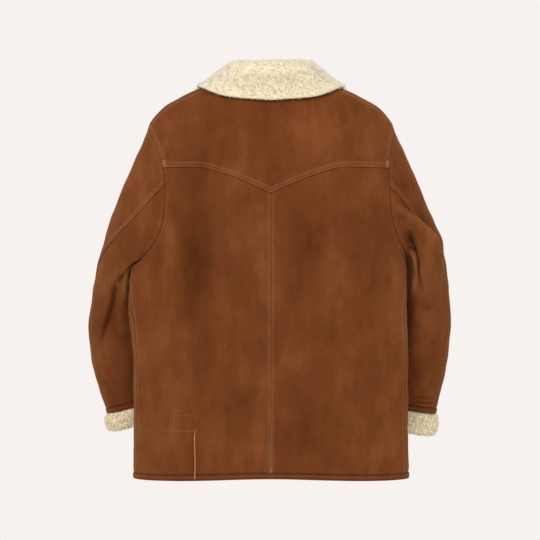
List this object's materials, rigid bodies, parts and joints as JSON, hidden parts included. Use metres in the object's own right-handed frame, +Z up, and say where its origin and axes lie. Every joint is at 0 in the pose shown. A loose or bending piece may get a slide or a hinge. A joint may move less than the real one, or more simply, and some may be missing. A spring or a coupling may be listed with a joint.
{
  "type": "shearling coat",
  "caption": "Hip-length shearling coat in brown suede with a fleece collar and turned fleece cuffs, hollow and filled out as worn.",
  "frame": {"origin": "middle of the neck opening, at the height where the shoulder line meets the collar", "axes": "+Z up, -Y the way the wearer faces, +X the wearer's left"},
  "size_m": [0.7555, 0.2841, 0.8435],
  "materials": {
    "suede": "suede, brushed and mottled, tobacco brown",
    "suede_band": "turned suede binding, tobacco brown",
    "fleece": "clipped sheep's wool, cream",
    "horn": "dark brown horn, slightly polished",
    "thread": "waxed thread, salmon"
  },
  "bodies": {
    "root": {"back_left": "suede", "back_right": "suede", "back_yoke": "suede", "button_1": "horn", "button_2": "horn", "button_3": "horn", "button_4": "horn", "collar": "fleece", "cuff_band_left": "suede_band", "cuff_band_right": "suede_band", "cuff_fleece_left": "fleece", "cuff_fleece_right": "fleece", "front_left": "suede", "front_right": "suede", "hem_band_back": "suede_band", "hem_band_left": "suede_band", "hem_band_right": "suede_band", "mend_welt": "thread", "sleeve_under_left": "suede", "sleeve_under_right": "suede", "sleeve_upper_left": "suede", "sleeve_upper_right": "suede"}
  },
  "joints": []
}
